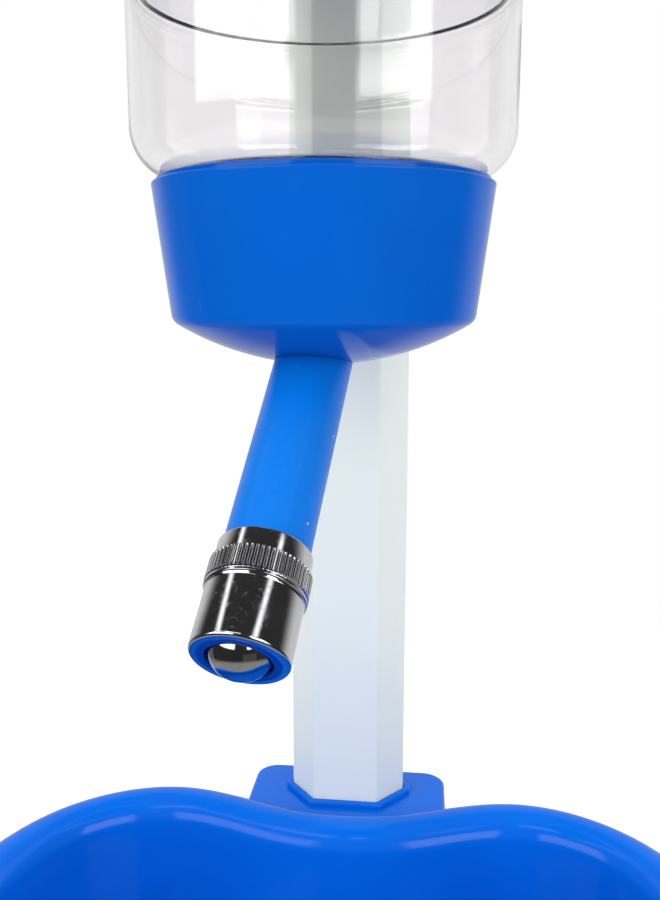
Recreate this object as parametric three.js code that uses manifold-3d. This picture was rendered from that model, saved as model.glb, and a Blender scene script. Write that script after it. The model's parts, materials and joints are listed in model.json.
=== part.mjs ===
// Rabbit drinking stand: an inverted clear bottle with a blue cap and an angled spout, held by a
// carriage that slides on an upright hexagonal pole, over a drip and feed bowl.
// Millimetres, +Z up. The spout side is -Y, the pole side is +Y. The sizes below are written about the
// bottle's own axis with Z = 0 on the table, and the last lines move the origin to the base's centre.
import * as THREE from "three";
import { mergeVertices } from "three/addons/utils/BufferGeometryUtils.js";
import Module from "manifold-3d";

const wasm = await Module();
wasm.setup();

// ---------------------------------------------------------------- driving dimensions
const DEG = Math.PI / 180;
const ROUND = 32; // sides of a large round part
const SMALL_ROUND = 16; // sides of a small round part
const GAP = 0.3; // between neighbours that touch on the real object

const cap = {
  edgeZ: 192.7, floorZ: 195.3, rimZ: 221, beadH: 1.2, edgeR: 32.5, rimR: 36.1,
  domeDrop: 9.4, wall: 2, boreR: 30.4,
};
const neck = { mouthZ: 197.6, outR: 28.6, wall: 1.8 };
const bottle = { r: 40, wall: 1.2, shoulderR: 10, shoulderZ: 221.5, topZ: 356, topR: 8 };
const groove = { z: 257.9, half: 0.7, flank: 0.7, depth: 0.9 }; // moulded ring around the bottle
const thread = { starts: 3, lead: 12, sweep: 96 * DEG, baseW: 1.4, tipW: 0.8, lug: 1.9 };
const band = { z: 308.3, h: 6.6, seat: 0.6, r: 43.2 }; // rubber band that the bottle hangs by
const spout = { turn: -6 * DEG, dip: 40 * DEG, startZ: 192.5, length: 81.6 };
const bowl = { crestZ: 51, rollR: 7.5, wall: 2.2, floorZ: 9, skirtZ: 1.5, flare: 8.5 };
const lie = { turn: 1 * DEG, x: 1, y: 0.8 }; // how the bowl sits under the pole
const pad = { z: 48, halfX: 29.4, backY: 72, frontY: 34, cornerR: 6, draft: 3.2 };
const pole = { y: 60, w: 33.6, d: 19.5, chamferX: 7.4, chamferY: 8.8, wall: 1.6, footZ: 9.8, topZ: 352 };
const holder = { z: 280, h: 32, wall: 3, ringZ: 284, ringH: 24, ringR: 40.4, mouth: 50 * DEG };
const clamp = { z: 296, bossY: 84, bossR: 9, knobR: 13, knobY: 84.8, knobT: 12, screwR: 2.9 };
const feet = { x: 60, frontY: -70, backY: 18, r: 7.5, h: 3, stemR: 2.3, bossR: 8.5 };

// ---------------------------------------------------------------- solids
/** A closed three.js geometry as a manifold-3d solid with its faces out. */
function solid(geometry) {
  const bare = geometry.index ? geometry.toNonIndexed() : geometry.clone();
  bare.deleteAttribute("normal");
  bare.deleteAttribute("uv");
  const merged = mergeVertices(bare, 1e-4);
  const kept = [];
  const index = merged.index.array;
  for (let i = 0; i < index.length; i += 3) {
    const [a, b, c] = [index[i], index[i + 1], index[i + 2]];
    if (a !== b && b !== c && c !== a) kept.push(a, b, c);
  }
  const build = (triangles) =>
    new wasm.Manifold(
      new wasm.Mesh({
        numProp: 3,
        vertProperties: merged.attributes.position.array,
        triVerts: new Uint32Array(triangles),
      }),
    );
  const made = build(kept);
  return made.volume() > 0 ? made : build(kept.reverse());
}

/** A manifold-3d solid as a three.js geometry. */
function geometryOf(body) {
  const mesh = body.getMesh();
  const count = mesh.vertProperties.length / mesh.numProp;
  const positions = new Float32Array(count * 3);
  for (let i = 0; i < count; i++) {
    const at = i * mesh.numProp;
    positions.set(mesh.vertProperties.subarray(at, at + 3), i * 3);
  }
  const geometry = new THREE.BufferGeometry();
  geometry.setAttribute("position", new THREE.BufferAttribute(positions, 3));
  geometry.setIndex(new THREE.BufferAttribute(new Uint32Array(mesh.triVerts), 1));
  geometry.computeVertexNormals();
  return geometry;
}

/** Points on an arc about (r, z), from angle a0 to a1 in degrees, in a profile of [radius, height]. */
function arc(r, z, radius, a0, a1, steps = 3) {
  return Array.from({ length: steps + 1 }, (_, i) => {
    const a = (a0 + ((a1 - a0) * i) / steps) * DEG;
    return [r + radius * Math.cos(a), z + radius * Math.sin(a)];
  });
}

/** A solid of revolution about Z from a closed outline of [radius, height] points. */
function revolve(outline, segments = ROUND) {
  const points = [...outline, outline[0]].map(([r, z]) => new THREE.Vector2(Math.max(r, 0), z));
  return solid(new THREE.LatheGeometry(points, segments).rotateX(Math.PI / 2));
}

/** A plain cylinder or tube along Z from z0 to z1. */
function barrel(r, z0, z1, bore = 0, segments = SMALL_ROUND) {
  return revolve([[bore, z0], [r, z0], [r, z1], [bore, z1]], segments);
}

/** A prism along Z from a closed list of [x, y] corners, with optional holes. */
function prism(corners, z0, z1) {
  const shape = new THREE.Shape(corners.map(([x, y]) => new THREE.Vector2(x, y)));
  const options = { depth: z1 - z0, bevelEnabled: false, curveSegments: 6 };
  return solid(new THREE.ExtrudeGeometry(shape, options).translate(0, 0, z0));
}

/** A box between two corners. */
function box(low, high) {
  const size = high.map((v, i) => v - low[i]);
  const centre = high.map((v, i) => (v + low[i]) / 2);
  return solid(new THREE.BoxGeometry(...size).translate(...centre));
}

/** A solid skinned through rings of [x, y, z] points; flat rings in XY are capped by triangulation. */
function loft(rings, flat = true) {
  const count = rings[0].length;
  const positions = rings.flat(2);
  const index = [];
  for (let k = 0; k + 1 < rings.length; k++) {
    for (let i = 0; i < count; i++) {
      const [a, b] = [k * count + i, k * count + ((i + 1) % count)];
      index.push(a, b, b + count, a, b + count, a + count);
    }
  }
  const last = (rings.length - 1) * count;
  const capOf = (ring) =>
    flat
      ? THREE.ShapeUtils.triangulateShape(ring.map(([x, y]) => new THREE.Vector2(x, y)), [])
      : Array.from({ length: count - 2 }, (_, i) => [0, i + 1, i + 2]);
  for (const [a, b, c] of capOf(rings[0])) index.push(c, b, a);
  for (const [a, b, c] of capOf(rings.at(-1))) index.push(last + a, last + b, last + c);
  const geometry = new THREE.BufferGeometry();
  geometry.setAttribute("position", new THREE.Float32BufferAttribute(positions, 3));
  geometry.setIndex(index);
  return solid(geometry);
}

const union = (first, ...others) => others.reduce((all, one) => all.add(one), first);
const cut = (first, ...others) => others.reduce((all, one) => all.subtract(one), first);
const at = (body, x, y, z) => body.translate([x, y, z]);

// ---------------------------------------------------------------- materials
const finish = (color, roughness, metalness = 0, extra = {}) =>
  new THREE.MeshStandardMaterial({ color, roughness, metalness, ...extra });
const BLUE = finish(0x0a5fd6, 0.22);
const CLEAR = finish(0xe8ecec, 0.05, 0, { transparent: true, opacity: 0.35 });
const WHITE = finish(0xdfe6ea, 0.35);
const CHROME = finish(0xd9dadc, 0.06, 1);
const STEEL = finish(0xbfc1c4, 0.25, 1);
const BRASS = finish(0xc9a24a, 0.3, 1);
const RUBBER = finish(0x2b2d31, 0.8);
const SILICONE = finish(0xd8dcdc, 0.6);
const NATURAL = finish(0xe9e7df, 0.5);

const stand = new THREE.Group();

/** Adds a named piece to a group. */
function piece(name, body, material, group = stand) {
  const mesh = new THREE.Mesh(geometryOf(body), material);
  mesh.name = name;
  group.add(mesh);
}

// ---------------------------------------------------------------- pole and what closes it
/** The pole's eight-sided section, grown by a distance, as [x, y] corners about the pole's centre. */
function poleSection(grow = 0) {
  const [hx, hy] = [pole.w / 2, pole.d / 2];
  const [cx, cy] = [pole.chamferX, pole.chamferY];
  const slope = Math.hypot(cx, cy);
  const shiftX = grow * ((slope - cx) / cy); // how far a front or back corner moves along X
  const shiftY = grow * ((slope - cy) / cx); // how far a side corner moves along Y
  const right = [
    [hx - cx + shiftX, -hy - grow],
    [hx + grow, -hy + cy - shiftY],
    [hx + grow, hy - cy + shiftY],
    [hx - cx + shiftX, hy + grow],
  ];
  const left = right.map(([x, y]) => [-x, y]).reverse();
  return [...right, ...left].map(([x, y]) => [x, y + pole.y]);
}

function buildPole() {
  const inside = poleSection(-pole.wall);
  const plug = poleSection(-pole.wall - GAP);
  const { footZ, topZ } = pole;
  const [plateT, headR, headH, shankR] = [3.8, 4.2, 2.6, 1.75];
  const washerZ = 5.5;
  piece(
    "pole",
    cut(prism(poleSection(), footZ, topZ), prism(inside, footZ - 1, topZ + 1)),
    WHITE,
  );
  piece(
    "pole_top_cap",
    union(
      prism(poleSection(1), topZ + GAP, topZ + GAP + plateT - 1.2),
      prism(poleSection(0), topZ + GAP + plateT - 1.3, topZ + GAP + plateT),
      prism(plug, topZ - 12, topZ + GAP + 1),
    ),
    BLUE,
  );
  const plugHole = at(barrel(shankR + GAP, footZ - 1, footZ + 17), 0, pole.y, 0);
  piece("pole_foot_plug", cut(prism(plug, footZ + GAP, footZ + 25), plugHole), NATURAL);
  const screw = union(
    barrel(headR, washerZ - GAP - headH, washerZ - GAP),
    barrel(shankR, washerZ - GAP - 0.1, footZ + 15),
  );
  const slot = box([-headR, -0.6, washerZ - 4], [headR, 0.6, washerZ - headH + 0.8]);
  piece("pole_screw", at(cut(screw, slot), 0, pole.y, 0), STEEL);
  const washer = barrel(headR + 1.3, washerZ, washerZ + 0.8, shankR + GAP);
  piece("pole_washer", at(washer, 0, pole.y, 0), STEEL);
}

// ---------------------------------------------------------------- base and bowl
/** The crest of the bowl's rim seen from above, a closed curve with a dent at the pole. */
function crestOutline(samples = 52) {
  const side = [
    [17.2, 38.5], [33.5, 44.2], [49.5, 47.8], [66, 43.8], [81.5, 31.2], [92, 8.5],
    [95.5, -20], [91, -50], [75.3, -78], [44, -97],
  ];
  const mirrored = side.map(([x, y]) => [-x, y]);
  const points = [[0, 36.5], ...mirrored, [0, -103], ...side.reverse()];
  const curve = new THREE.CatmullRomCurve3(
    points.map(([x, y]) => new THREE.Vector3(x, y, 0)),
    true,
    "centripetal",
  );
  const up = new THREE.Vector3(0, 0, 1);
  return Array.from({ length: samples }, (_, i) => {
    const u = i / samples;
    const p = curve.getPointAt(u).applyAxisAngle(up, lie.turn);
    const t = curve.getTangentAt(u).applyAxisAngle(up, lie.turn);
    return { x: p.x + lie.x, y: p.y + lie.y, nx: t.y, ny: -t.x }; // the normal points out of the bowl
  });
}

/** A solid whose wall follows the crest's outline, from [offset outwards, height] levels. */
function follow(outline, levels) {
  return loft(
    levels.map(([d, z]) => outline.map((p) => [p.x + p.nx * d, p.y + p.ny * d, z])),
  );
}

/** A tapered block with rounded back corners, for the plinth under the pole. */
function plinth(inset, z0, z1) {
  const ring = (z) => {
    const spread = (pad.draft * (pad.z - z)) / pad.z - inset;
    const [hx, back, r] = [pad.halfX + spread, pad.backY + spread, pad.cornerR];
    const corner = arc(hx - r, back - r, r, 0, 90, 4);
    const mirrored = corner.map(([x, y]) => [-x, y]).reverse();
    return [[-hx, pad.frontY], [hx, pad.frontY], ...corner, ...mirrored].map(([x, y]) => [x, y, z]);
  };
  return loft([ring(z0), ring(z1)]);
}

function buildBase() {
  const outline = crestOutline();
  const { crestZ, rollR, wall, floorZ, skirtZ, flare } = bowl;
  const rollZ = crestZ - rollR;
  const footZ = floorZ + 9; // where the bowl's wall meets its floor fillet
  const roll = (r, side) => arc(0, rollZ, r, side > 0 ? 0 : 180, 90, 4);
  const cavity = (grow) => [
    ...arc(-17.5, footZ, 9 + grow, -90, 0),
    ...roll(rollR - grow, -1),
  ];
  const outer = follow(outline, [[flare, skirtZ], ...roll(rollR, 1)]);
  const hollowRim = roll(rollR - wall, 1);
  const hollowOut = follow(outline, [[flare - wall, -1], ...hollowRim]);
  const inside = follow(outline, [...cavity(0), [0, crestZ + 12]]);
  const shellUnder = follow(outline, cavity(wall));
  const hollow = cut(union(hollowOut, plinth(wall, -1, pad.z - wall)), shellUnder);
  const socket = prism(poleSection(GAP + 2.2), 6.6, pad.z - 1);
  const collar = union(
    prism(poleSection(GAP + 1.9), pad.z - 1, pad.z + 1),
    prism(poleSection(GAP + 1.3), pad.z + 0.9, pad.z + 1.5),
  );
  const poleHole = prism(poleSection(GAP), pole.footZ - GAP, pad.z + 10);
  const screwHole = at(barrel(2.4, 0, 20), 0, pole.y, 0);
  const ribs = [-1, 1].map((s) =>
    box([Math.min(s * 18, s * 29), pole.y - 1, 12], [Math.max(s * 18, s * 29), pole.y + 1, 46.5]),
  );
  const spots = footSpots();
  const bosses = spots.map(([x, y]) => at(barrel(feet.bossR, feet.h + GAP, floorZ - 1), x, y, 0));
  const sockets = spots.map(([x, y]) => at(barrel(feet.stemR + 0.15, 0, 7), x, y, 0));
  const shell = cut(union(outer, plinth(0, skirtZ, pad.z)), inside, hollow);
  const base = cut(union(shell, socket, collar, ...ribs, ...bosses), poleHole, screwHole, ...sockets);
  piece("bowl_base", base, BLUE);
  spots.forEach(([x, y], i) => {
    const foot = union(
      revolve([[0, 0], [feet.r - 0.8, 0], [feet.r, 0.8], [feet.r, feet.h], [0, feet.h]], SMALL_ROUND),
      barrel(feet.stemR, feet.h - 0.1, 6.4),
    );
    piece(`rubber_foot_${i + 1}`, at(foot, x, y, 0), RUBBER);
  });
}

function footSpots() {
  return [feet.frontY, feet.backY].flatMap((y) => [-feet.x, feet.x].map((x) => [x, y]));
}

// ---------------------------------------------------------------- carriage on the pole
/** A ring open towards -Y, swept about the bottle's axis, with rounded lips at its two ends. */
function clipRing() {
  const { ringR, wall, ringZ, ringH, mouth } = holder;
  const steps = 30;
  const start = -Math.PI / 2 + mouth;
  const sweep = 2 * Math.PI - 2 * mouth;
  const arcPoints = (r) =>
    Array.from({ length: steps + 1 }, (_, i) => {
      const a = start + (sweep * i) / steps;
      return [r * Math.cos(a), r * Math.sin(a)];
    });
  const ring = prism([...arcPoints(ringR), ...arcPoints(ringR + wall).reverse()], ringZ, ringZ + ringH);
  const lips = [start, start + sweep].map((a) => {
    const r = ringR + wall;
    return at(barrel(wall - 0.6, ringZ, ringZ + ringH), r * Math.cos(a), r * Math.sin(a), 0);
  });
  return union(ring, ...lips);
}

/** A cylinder or hexagon along Y from y0 to y1 on the clamp screw's axis. */
function alongClamp(r, y0, y1, sides = SMALL_ROUND) {
  const rod = new THREE.CylinderGeometry(r, r, y1 - y0, sides).translate(0, (y0 + y1) / 2, clamp.z);
  return solid(rod);
}

function buildCarriage() {
  const { z, h, wall } = holder;
  const clearance = 0.35;
  const backY = pole.y + pole.d / 2;
  const sleeve = prism(poleSection(clearance + wall), z, z + h);
  const web = box([-13, holder.ringR + 1, holder.ringZ + 1], [13, pole.y - 10, holder.ringZ + 23]);
  const boss = alongClamp(clamp.bossR, backY + 2, clamp.bossY);
  const bore = alongClamp(clamp.screwR + GAP, backY, clamp.bossY + 1);
  const nutR = 5.77; // corner radius of an M6 nut, 10 mm across flats
  const pocket = alongClamp(nutR + 0.35, backY, backY + 10.3, 6);
  const ringBore = barrel(holder.ringR, z - 1, z + h + 1, 0, 80);
  const tunnel = prism(poleSection(clearance), z - 1, z + h + 1);
  const body = cut(union(sleeve, web, boss, clipRing()), tunnel, bore, pocket, ringBore);
  piece("bottle_carriage", body, BLUE);

  const nutY = backY + 5;
  const nut = cut(
    alongClamp(nutR, nutY, nutY + 5, 6),
    alongClamp(clamp.screwR + 0.25, nutY - 1, nutY + 6),
  );
  piece("clamp_nut", nut, BRASS);
  piece("clamp_pad", alongClamp(4.6, backY + GAP, backY + 2.4), NATURAL);
  piece("clamp_screw", alongClamp(clamp.screwR, backY + 2.7, clamp.knobY + 9), STEEL);

  const lobes = 6;
  const rim = Array.from({ length: 48 }, (_, i) => {
    const a = (i * 2 * Math.PI) / 48;
    const r = clamp.knobR - 1.1 + 1.1 * Math.cos(lobes * a);
    return [r * Math.cos(a), r * Math.sin(a)];
  });
  const { knobY, knobT } = clamp;
  const grip = prism(rim, 0, knobT - 2).rotate([90, 0, 0]).translate([0, knobY + knobT, clamp.z]);
  const hub = alongClamp(6.5, knobY, knobY + 2.2);
  const hole = alongClamp(clamp.screwR + 0.15, knobY - 1, knobY + 9.3);
  piece("clamp_knob", cut(union(grip, hub), hole), BLUE);
}

// ---------------------------------------------------------------- bottle and the band that carries it
/** Thread ridges on a wall of radius baseR, standing in or out to tipR, one for each start. */
function ridges(baseR, tipR, startZ) {
  const steps = 8;
  return Array.from({ length: thread.starts }, (_, k) => {
    const rings = Array.from({ length: steps + 1 }, (_, i) => {
      const turn = (thread.sweep * i) / steps;
      const a = turn + (k * 2 * Math.PI) / thread.starts;
      const z = startZ + (thread.lead * turn) / (2 * Math.PI);
      const lead = Math.min(i, steps - i, 2) / 2; // the ridge runs out at its two ends
      const tip = baseR + (tipR - baseR) * Math.max(lead, 0.25);
      const root = baseR - Math.sign(tipR - baseR) * 0.4;
      return [
        [root, -thread.baseW / 2], [tip, -thread.tipW / 2], [tip, thread.tipW / 2], [root, thread.baseW / 2],
      ].map(([r, dz]) => [r * Math.cos(a), r * Math.sin(a), z + dz]);
    });
    return loft(rings, false);
  });
}

function buildBottle() {
  const { r, wall, shoulderR, shoulderZ, topZ, topR } = bottle;
  const arcZ = shoulderZ + shoulderR;
  const inR = neck.outR - neck.wall;
  const seatTop = band.z + band.h;
  const dip = (wallR, half) => [
    [wallR, groove.z - half - groove.flank], [wallR - groove.depth, groove.z - half],
    [wallR - groove.depth, groove.z + half], [wallR, groove.z + half + groove.flank],
  ];
  const outside = [
    [neck.outR, neck.mouthZ],
    [neck.outR, shoulderZ],
    ...arc(r - shoulderR, arcZ, shoulderR, -90, 0, 4),
    ...dip(r, groove.half),
    [r, band.z - band.seat], [r - band.seat, band.z - GAP / 2],
    [r - band.seat, seatTop + GAP / 2], [r, seatTop + band.seat],
    ...arc(r - topR, topZ - topR, topR, 0, 90),
    [27, topZ], [22, topZ - 1.6], [0, topZ - 5.5],
  ];
  const inside = [
    [0, topZ - 5.5 - wall], [21.6, topZ - 1.6 - wall], [26.6, topZ - wall],
    ...arc(r - topR, topZ - topR, topR - wall, 90, 0),
    [r - wall, seatTop + 2], [r - wall - band.seat, seatTop + 1],
    [r - wall - band.seat, band.z - 1], [r - wall, band.z - 2],
    ...dip(r - wall, groove.half + 0.5).reverse(),
    ...arc(r - shoulderR, arcZ, shoulderR - wall, 0, -90, 4),
    [inR + 1.4, shoulderZ + wall], [inR, shoulderZ],
    [inR, neck.mouthZ],
  ];
  const body = union(revolve([...outside, ...inside]), ...ridges(neck.outR, 29.8, 204));
  piece("bottle", body, CLEAR);
  const inner = r - band.seat + 0.2;
  const z0 = band.z;
  const z1 = band.z + band.h;
  piece(
    "grip_band",
    revolve([
      [inner, z0], [band.r - 0.8, z0], [band.r, z0 + 0.8],
      [band.r, z1 - 0.8], [band.r - 0.8, z1], [inner, z1],
    ]),
    RUBBER,
  );
}

// ---------------------------------------------------------------- cap and its seal
const domeR = (cap.edgeR ** 2 + cap.domeDrop ** 2) / (2 * cap.domeDrop);
const domeCentreZ = cap.edgeZ - cap.domeDrop + domeR;

/** Profile points of the cap's domed underside from the axis out to a radius. */
function dome(radius, outR, steps = 4) {
  return Array.from({ length: steps + 1 }, (_, i) => {
    const r = (outR * i) / steps;
    return [r, domeCentreZ - Math.sqrt(radius ** 2 - r ** 2)];
  });
}

/** The cap's outside as a filled solid, grown by a distance. */
function capOutside(grow = 0) {
  return revolve([
    ...dome(domeR + grow, cap.edgeR - 1.2),
    [cap.edgeR - 0.3 + grow, cap.edgeZ + 0.1],
    [cap.edgeR + 0.15 + grow, cap.edgeZ + 1.3],
    [cap.rimR + grow, cap.rimZ - 1],
    [cap.rimR - 1, cap.rimZ],
    [0, cap.rimZ],
  ]);
}

/** Placement of the spout's own frame: +Z runs down the spout, from the cap's axis to the nozzle. */
function spoutMatrix() {
  const along = new THREE.Vector3(
    Math.sin(spout.turn) * Math.cos(spout.dip),
    -Math.cos(spout.turn) * Math.cos(spout.dip),
    -Math.sin(spout.dip),
  );
  const side = new THREE.Vector3(0, 0, 1).cross(along).normalize();
  const up = along.clone().cross(side);
  return new THREE.Matrix4().makeBasis(side, up, along).setPosition(0, 0, spout.startZ);
}

function buildCap() {
  const { edgeZ, floorZ, rimZ, beadH, edgeR, rimR, wall, boreR } = cap;
  const wellR = 25.8;
  const shell = revolve([
    ...dome(domeR, edgeR - 1.2),
    [edgeR - 0.3, edgeZ + 0.1], [edgeR + 0.15, edgeZ + 1.3],
    [rimR, rimZ - 1], [rimR - 0.6, rimZ], [rimR - 0.8, rimZ],
    [rimR - 0.8, rimZ + beadH], [rimR - 1.9, rimZ + beadH - 0.35],
    [rimR - 2.8, rimZ - 10], [boreR + 2, rimZ - 10],
    [boreR + 2, rimZ - 2.5], [boreR, rimZ - 2.5],
    [boreR, floorZ], [wellR, floorZ],
    ...dome(domeR - wall, wellR).reverse(),
  ]);
  const place = spoutMatrix().elements;
  const boss = barrel(8.4, 0.5, 18, 0, ROUND).transform(place).intersect(capOutside());
  const outlet = barrel(6.3, 0, 30, 0, ROUND).transform(place);
  const lugs = ridges(boreR, 29.2, 204 + thread.lug);
  piece("cap", cut(union(shell, boss, ...lugs), outlet), BLUE);
  piece("cap_gasket", barrel(boreR - GAP, floorZ + 0.15, neck.mouthZ - 0.15, 26.4, ROUND), SILICONE);
}

// ---------------------------------------------------------------- spout and nozzle, in the spout's frame
function buildSpout() {
  const frame = new THREE.Group();
  spoutMatrix().decompose(frame.position, frame.quaternion, frame.scale);
  stand.add(frame);
  const face = spout.length;
  const fromFace = (u) => face - u; // a distance back from the nozzle's face

  // Spout tube: a spigot with an O-ring groove, a tapered barrel, and a spigot for the nozzle.
  const taperEnd = fromFace(18.2);
  const tubeEnd = fromFace(13.9);
  const ledge = fromFace(24.5);
  const capCutter = capOutside(GAP).transform(spoutMatrix().invert().elements);
  const taper = cut(
    revolve([[0, 6], [8, 6], [7.85, taperEnd], [0, taperEnd]], ROUND),
    capCutter,
  );
  const spigot = revolve(
    [[0, 1.2], [6, 1.2], [6, 3.3], [4.9, 3.3], [4.9, 5.1], [6, 5.1], [6, 26], [0, 26]],
    ROUND,
  );
  const tail = barrel(6.2, taperEnd - 1, tubeEnd, 0, ROUND);
  const bore = union(barrel(3.1, 0, ledge + 1), barrel(4.6, ledge, face));
  piece("spout_tube", cut(union(taper, spigot, tail), bore), BLUE, frame);
  const oring = new THREE.TorusGeometry(5.62, 0.6, 8, SMALL_ROUND).translate(0, 0, 4.2);
  piece("spout_o_ring", solid(oring), RUBBER, frame);

  // Nozzle insert: mouth, ball chamber, bulkhead and the socket that screws on the tube.
  const profile = (points) => points.map(([r, u]) => [r, fromFace(u)]);
  const insert = revolve(
    profile([
      [5.9, 0], [5.78, 0.25], [5.78, 0.8], [6.3, 1.4], [6.3, 10.9], [2.2, 10.9], [2.2, 12.1],
      [6.55, 12.1], [6.55, 17.4], [7.95, 17.4], [7.95, 1.4], [7.45, 1.3], [7.45, 0.2], [7.3, 0],
    ]),
    ROUND,
  );
  piece("nozzle_insert", insert, BLUE, frame);

  // Chromed sleeve, rolled in over the insert at its mouth, with a ledge and a knurled ring above.
  const sleeveIn = 8.2;
  const sleeve = revolve(
    profile([
      [sleeveIn, 1.1], [7.75, 1], [7.75, 0.2], [7.95, 0], [8.35, 0.15], [8.65, 0.8],
      [8.65, 11.7], [9.05, 12], [9.05, 12.5], [8.8, 12.8],
      [8.8, 17], [8.6, 17.2], [8.6, 20.2], [8.45, 20.8], [sleeveIn, 21],
    ]),
    ROUND,
  );
  const teeth = 34;
  const knurl = Array.from({ length: teeth * 2 }, (_, i) => {
    const a = (i * Math.PI) / teeth;
    const r = i % 2 ? 8.85 : 9.2;
    return [r * Math.cos(a), r * Math.sin(a)];
  });
  const knurled = cut(
    prism(knurl, fromFace(17.1), fromFace(12.7)),
    barrel(sleeveIn, 0, face, 0, ROUND),
  );
  piece("nozzle_sleeve", union(sleeve, knurled), CHROME, frame);

  // Valve: the ball pushes the pin, whose head lifts off the washer against the spring.
  const ballR = 6;
  const ball = new THREE.SphereGeometry(ballR, 24, 12).translate(0, 0, fromFace(3));
  piece("valve_ball", solid(ball), STEEL, frame);
  piece("valve_washer", barrel(6.2, fromFace(13.6), fromFace(12.4), 2, ROUND), RUBBER, frame);
  const pin = revolve(
    profile([
      [0, 9.3], [1.1, 9.3], [1.1, 13.9], [3.9, 13.9], [3.9, 15.4], [1.1, 15.6], [1.1, 20.5], [0, 20.5],
    ]),
    SMALL_ROUND,
  );
  piece("valve_pin", pin, NATURAL, frame);
  piece("valve_spring", springCoil(3.5, 0.3, fromFace(24.2), fromFace(15.9), 5), STEEL, frame);
}

/** A round-wire compression spring about Z between two heights, as one closed tube. */
function springCoil(radius, wire, z0, z1, turns) {
  const stepsPerTurn = 12;
  const sides = 5;
  const steps = turns * stepsPerTurn;
  const rings = Array.from({ length: steps + 1 }, (_, i) => {
    const a = (2 * Math.PI * i) / stepsPerTurn;
    const z = z0 + wire + ((z1 - z0 - 2 * wire) * i) / steps;
    return Array.from({ length: sides }, (_, k) => {
      const b = (2 * Math.PI * k) / sides;
      const r = radius + wire * Math.cos(b);
      return [r * Math.cos(a), r * Math.sin(a), z + wire * Math.sin(b)];
    });
  });
  return loft(rings, false);
}

// ---------------------------------------------------------------- assembly
buildBase();
buildPole();
buildCarriage();
buildBottle();
buildCap();
buildSpout();

// The origin is the middle of the whole outline, on the table.
const extent = new THREE.Box3().setFromObject(stand);
stand.position.x = -(extent.min.x + extent.max.x) / 2;
stand.position.y = -(extent.min.y + extent.max.y) / 2;
const assembly = new THREE.Group();
assembly.add(stand);

export default assembly;
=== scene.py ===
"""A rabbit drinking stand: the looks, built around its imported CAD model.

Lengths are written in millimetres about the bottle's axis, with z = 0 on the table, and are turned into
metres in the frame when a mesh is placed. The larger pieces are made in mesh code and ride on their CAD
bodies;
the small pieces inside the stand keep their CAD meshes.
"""

import json
import math

import bmesh
import bpy
from mathutils import Matrix, Vector


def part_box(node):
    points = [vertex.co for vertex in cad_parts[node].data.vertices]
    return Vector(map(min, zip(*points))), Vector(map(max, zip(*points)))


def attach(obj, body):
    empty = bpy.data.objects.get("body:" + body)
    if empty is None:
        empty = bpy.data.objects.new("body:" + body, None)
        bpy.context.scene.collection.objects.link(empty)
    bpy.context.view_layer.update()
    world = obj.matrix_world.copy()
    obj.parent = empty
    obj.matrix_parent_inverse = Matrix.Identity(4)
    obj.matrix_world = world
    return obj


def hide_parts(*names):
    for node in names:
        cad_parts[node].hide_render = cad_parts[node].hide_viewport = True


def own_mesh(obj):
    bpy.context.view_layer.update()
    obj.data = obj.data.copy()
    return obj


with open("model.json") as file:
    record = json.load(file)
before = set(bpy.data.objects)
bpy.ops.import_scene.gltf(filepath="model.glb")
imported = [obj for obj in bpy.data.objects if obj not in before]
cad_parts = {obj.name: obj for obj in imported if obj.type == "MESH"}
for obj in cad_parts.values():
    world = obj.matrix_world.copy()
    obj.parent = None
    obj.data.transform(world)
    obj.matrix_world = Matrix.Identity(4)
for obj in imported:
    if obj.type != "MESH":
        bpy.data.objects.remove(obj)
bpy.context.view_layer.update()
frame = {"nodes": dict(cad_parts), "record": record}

# ------------------------------------------------------------------ places and sizes, from the frame
MM = 0.001
ROUND = 160  # sides of a large round piece
FINE = 96  # sides of a small round piece
SMOOTH_ROUND = 240  # sides of a piece whose gloss or outline shows
SHARP = 32  # degrees past which an edge is shaded hard

JOINTS = {joint["name"]: joint for joint in frame["record"]["behaviour"]["joints"]}


def box_mm(node):
    """The lowest and highest corners of a CAD node, in millimetres."""
    low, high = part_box(node)
    return low / MM, high / MM


bottle_low, bottle_high = box_mm("bottle")
cap_high = box_mm("cap")[1]
pole_low, pole_high = box_mm("pole")
holder_low, holder_high = box_mm("bottle_carriage")
band_low, band_high = box_mm("grip_band")
knob_low, knob_high = box_mm("clamp_knob")

# The bottle's axis, about which the rest is placed.
AXIS = Vector(((bottle_low.x + bottle_high.x) / 2, (bottle_low.y + bottle_high.y) / 2, 0))
BOTTLE_R = (bottle_high.x - bottle_low.x) / 2
POLE_Y = (pole_low.y + pole_high.y) / 2 - AXIS.y
POLE_BACK = POLE_Y + (pole_high.y - pole_low.y) / 2
POLE_CUT = (7.4, 8.8)  # how much each corner of the pole's box is cut off, in x and y
CLAMP_Z = (knob_low.z + knob_high.z) / 2


def spout_matrix():
    """The spout's own frame: +Z runs out along it from the point where it meets the bottle's axis."""
    turn = JOINTS["nozzle_turn"]
    along = Vector(turn["axis"]).normalized()
    point = Vector(turn["pos_m"]) / MM
    start = point - along * ((point.y - AXIS.y) / along.y)
    side = Vector((0, 0, 1)).cross(along).normalized()
    up = along.cross(side)
    basis = Matrix((side, up, along)).transposed().to_4x4()
    return Matrix.Translation(start) @ basis


SPOUT = spout_matrix()
BALL_OUT = 3.0  # how far the valve ball's centre sits behind the nozzle's face
FACE = (SPOUT.inverted() @ (Vector(JOINTS["ball_roll"]["pos_m"]) / MM)).z + BALL_OUT
UPRIGHT = Matrix.Translation(AXIS)


# ------------------------------------------------------------------ camera
CAMERA_PLACE = Vector((24.16, -200.5, 199.9)) + AXIS
CAMERA_DOWN = 10.06  # degrees below level
CAMERA_LEFT = 6.51  # degrees left of straight ahead
CAMERA_LENS = 36.86


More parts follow.
